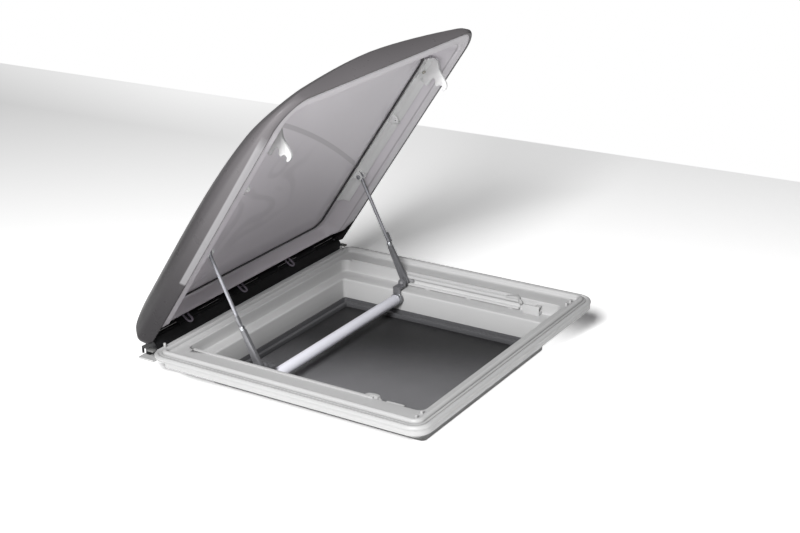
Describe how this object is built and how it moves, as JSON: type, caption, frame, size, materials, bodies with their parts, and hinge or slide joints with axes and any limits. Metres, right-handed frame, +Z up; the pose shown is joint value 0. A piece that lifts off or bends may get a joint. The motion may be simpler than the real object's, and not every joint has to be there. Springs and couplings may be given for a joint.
{
  "type": "roof window",
  "caption": "Small roof window for a caravan or camper: smoked double dome hinged on a white frame, held open by sliding stays joined by a pull bar, with an insect screen below.",
  "frame": {"origin": "middle of the roof cut-out at the underside of the mounting flange", "axes": "+X along the hinge, -Y towards the side that opens, +Y towards the hinge, +Z up and away from the room"},
  "size_m": [0.53, 0.5298, 0.5113],
  "materials": {
    "frame_plastic": "satin",
    "guide_plastic": "satin",
    "seal_strip": "matt",
    "roof_foam": "matt",
    "screw_steel": "plain",
    "tray_plastic": "matt",
    "mesh": "fine insect mesh",
    "black_profile": "matt",
    "pad_grey": "matt",
    "smoked_dome": "polished smoked acrylic",
    "smoked_pane": "polished, translucent",
    "gasket": "matt",
    "white_plastic": "satin",
    "lever_zinc": "grey",
    "rod_steel": "bright",
    "bar_white": "satin white",
    "shoe_plastic": "matt"
  },
  "bodies": {
    "frame": {"outer_frame": "frame_plastic", "rim_seal": "seal_strip", "roof_seal": "roof_foam", "screen_tray": "tray_plastic", "insect_screen": "mesh", "screen_clips": "tray_plastic", "guide_left": "guide_plastic", "guide_right": "guide_plastic", "guide_screws": "screw_steel", "catch_pocket_left": "white_plastic", "catch_pocket_right": "white_plastic", "hinge_base": "black_profile", "hinge_end_caps": "black_profile", "hinge_rod": "rod_steel", "rear_pegs": "white_plastic", "corner_pads": "pad_grey", "rest_blocks": "white_plastic"},
    "dome": {"hinge_leaf": "black_profile", "hinge_clips": "smoked_dome", "dome_outer": "smoked_dome", "dome_inner_pane": "smoked_pane", "pane_gasket": "gasket", "dome_rail_left": "white_plastic", "dome_rail_right": "white_plastic", "claw_left": "white_plastic", "claw_right": "white_plastic", "claw_screws": "screw_steel", "pivot_pin_left": "rod_steel", "pivot_pin_right": "rod_steel"},
    "stay_left": {"stay_rod_left": "rod_steel", "stay_nut_left": "screw_steel", "stay_tab_left": "lever_zinc", "stay_lever_left": "lever_zinc"},
    "stay_right": {"stay_rod_right": "rod_steel", "stay_nut_right": "screw_steel", "stay_tab_right": "lever_zinc", "stay_lever_right": "lever_zinc"},
    "bow": {"bow_arm_left": "lever_zinc", "bow_arm_right": "lever_zinc", "bow_bar": "bar_white", "bow_collars": "lever_zinc", "slide_shoe_left": "shoe_plastic", "slide_shoe_right": "shoe_plastic"},
    "catch_left": {"catch_left": "white_plastic"},
    "catch_right": {"catch_right": "white_plastic"}
  },
  "joints": [
    {"name": "dome_hinge", "type": "hinge", "parent": "frame", "child": "dome", "pos_m": [0, 0.2565, 0.042], "axis": [1, 0, 0], "range_deg": [0, 55]},
    {"name": "stay_left_pivot", "type": "hinge", "parent": "dome", "child": "stay_left", "pos_m": [-0.1996, 0.16385, 0.18722], "axis": [1, 0, 0], "range_deg": [-108.7, 0]},
    {"name": "stay_right_pivot", "type": "hinge", "parent": "dome", "child": "stay_right", "pos_m": [0.1996, 0.16385, 0.18722], "axis": [1, 0, 0], "range_deg": [-108.7, 0]},
    {"name": "bow_pivot", "type": "hinge", "parent": "stay_left", "child": "bow", "pos_m": [-0.199, 0.0805, 0.0138], "axis": [1, 0, 0], "range_deg": [0, 53.7]},
    {"name": "catch_left_slide", "type": "slide", "parent": "frame", "child": "catch_left", "axis": [0, -1, 0], "range_m": [0, 0.007]},
    {"name": "catch_right_slide", "type": "slide", "parent": "frame", "child": "catch_right", "axis": [0, -1, 0], "range_m": [0, 0.007]}
  ],
  "couplings": [
    {"joint": "stay_left_pivot", "follows": "dome_hinge", "ratio": -1.9758},
    {"joint": "stay_right_pivot", "follows": "dome_hinge", "ratio": -1.9758},
    {"joint": "bow_pivot", "follows": "dome_hinge", "ratio": 0.97578}
  ]
}
